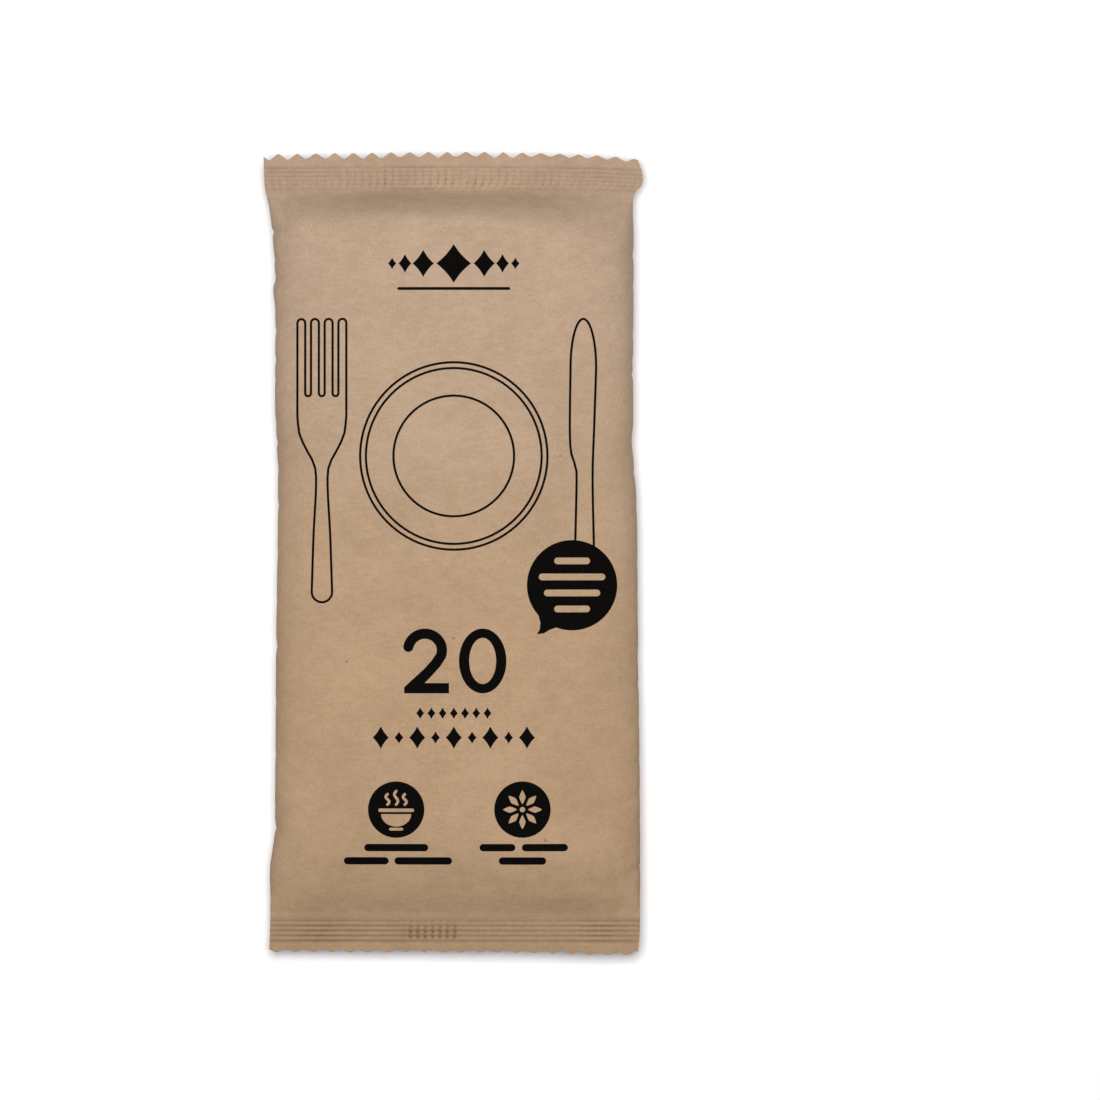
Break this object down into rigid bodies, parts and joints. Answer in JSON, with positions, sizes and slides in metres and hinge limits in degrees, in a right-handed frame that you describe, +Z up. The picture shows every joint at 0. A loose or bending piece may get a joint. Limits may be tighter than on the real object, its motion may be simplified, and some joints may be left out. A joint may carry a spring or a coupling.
{
  "type": "wooden cutlery pack",
  "caption": "Sealed kraft paper flow pack of wooden teaspoons, lying on its back, with crimped zigzag end seals and a folded fin seal.",
  "frame": {"origin": "under the middle of the pack, in the plane that its back lies on", "axes": "+Z up out of the printed front, +Y along the pack to its top end, +X to the right as the print is read"},
  "size_m": [0.0598, 0.126, 0.0121],
  "materials": {
    "kraft_paper": "matte",
    "black_ink": "matte"
  },
  "bodies": {
    "root": {"sealed_pack": "kraft_paper"}
  },
  "joints": []
}
